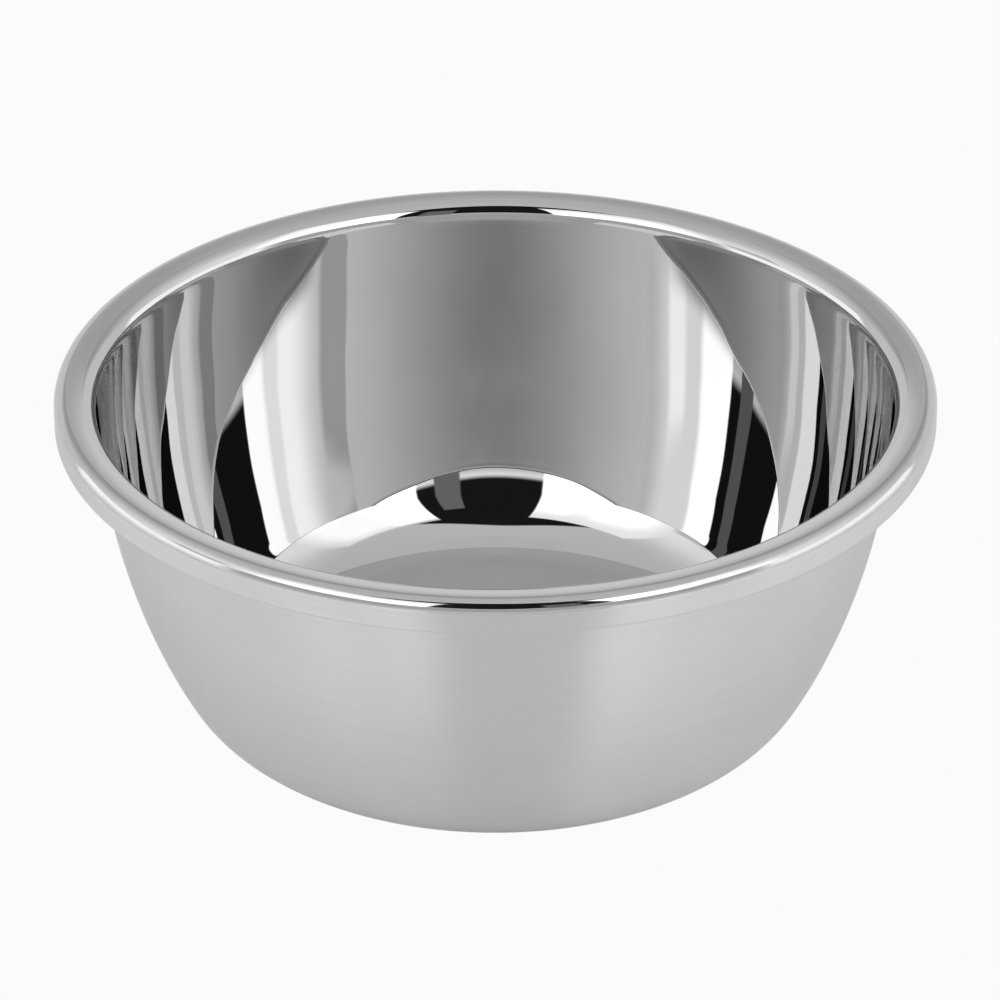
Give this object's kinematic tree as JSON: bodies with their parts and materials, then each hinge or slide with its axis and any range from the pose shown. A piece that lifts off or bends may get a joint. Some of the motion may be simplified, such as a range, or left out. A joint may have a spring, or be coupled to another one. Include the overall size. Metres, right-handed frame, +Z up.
{
  "type": "mixing bowl",
  "caption": "Round steel mixing bowl with steep curved sides, a flat base, and a broad inward-sloping rim turned down into a short skirt; mirror inside and satin outside.",
  "frame": {"origin": "centre of the flat base, on the surface that the bowl rests on", "axes": "+Z up along the bowl's axis, out of its mouth; the bowl is a body of revolution, so +X and +Y are any two square directions in the resting plane"},
  "size_m": [0.26, 0.26, 0.1067],
  "materials": {
    "bowl": "stainless steel, mirror polished inside, satin outside and on the rim band"
  },
  "bodies": {
    "root": {"bowl": "bowl"}
  },
  "joints": []
}
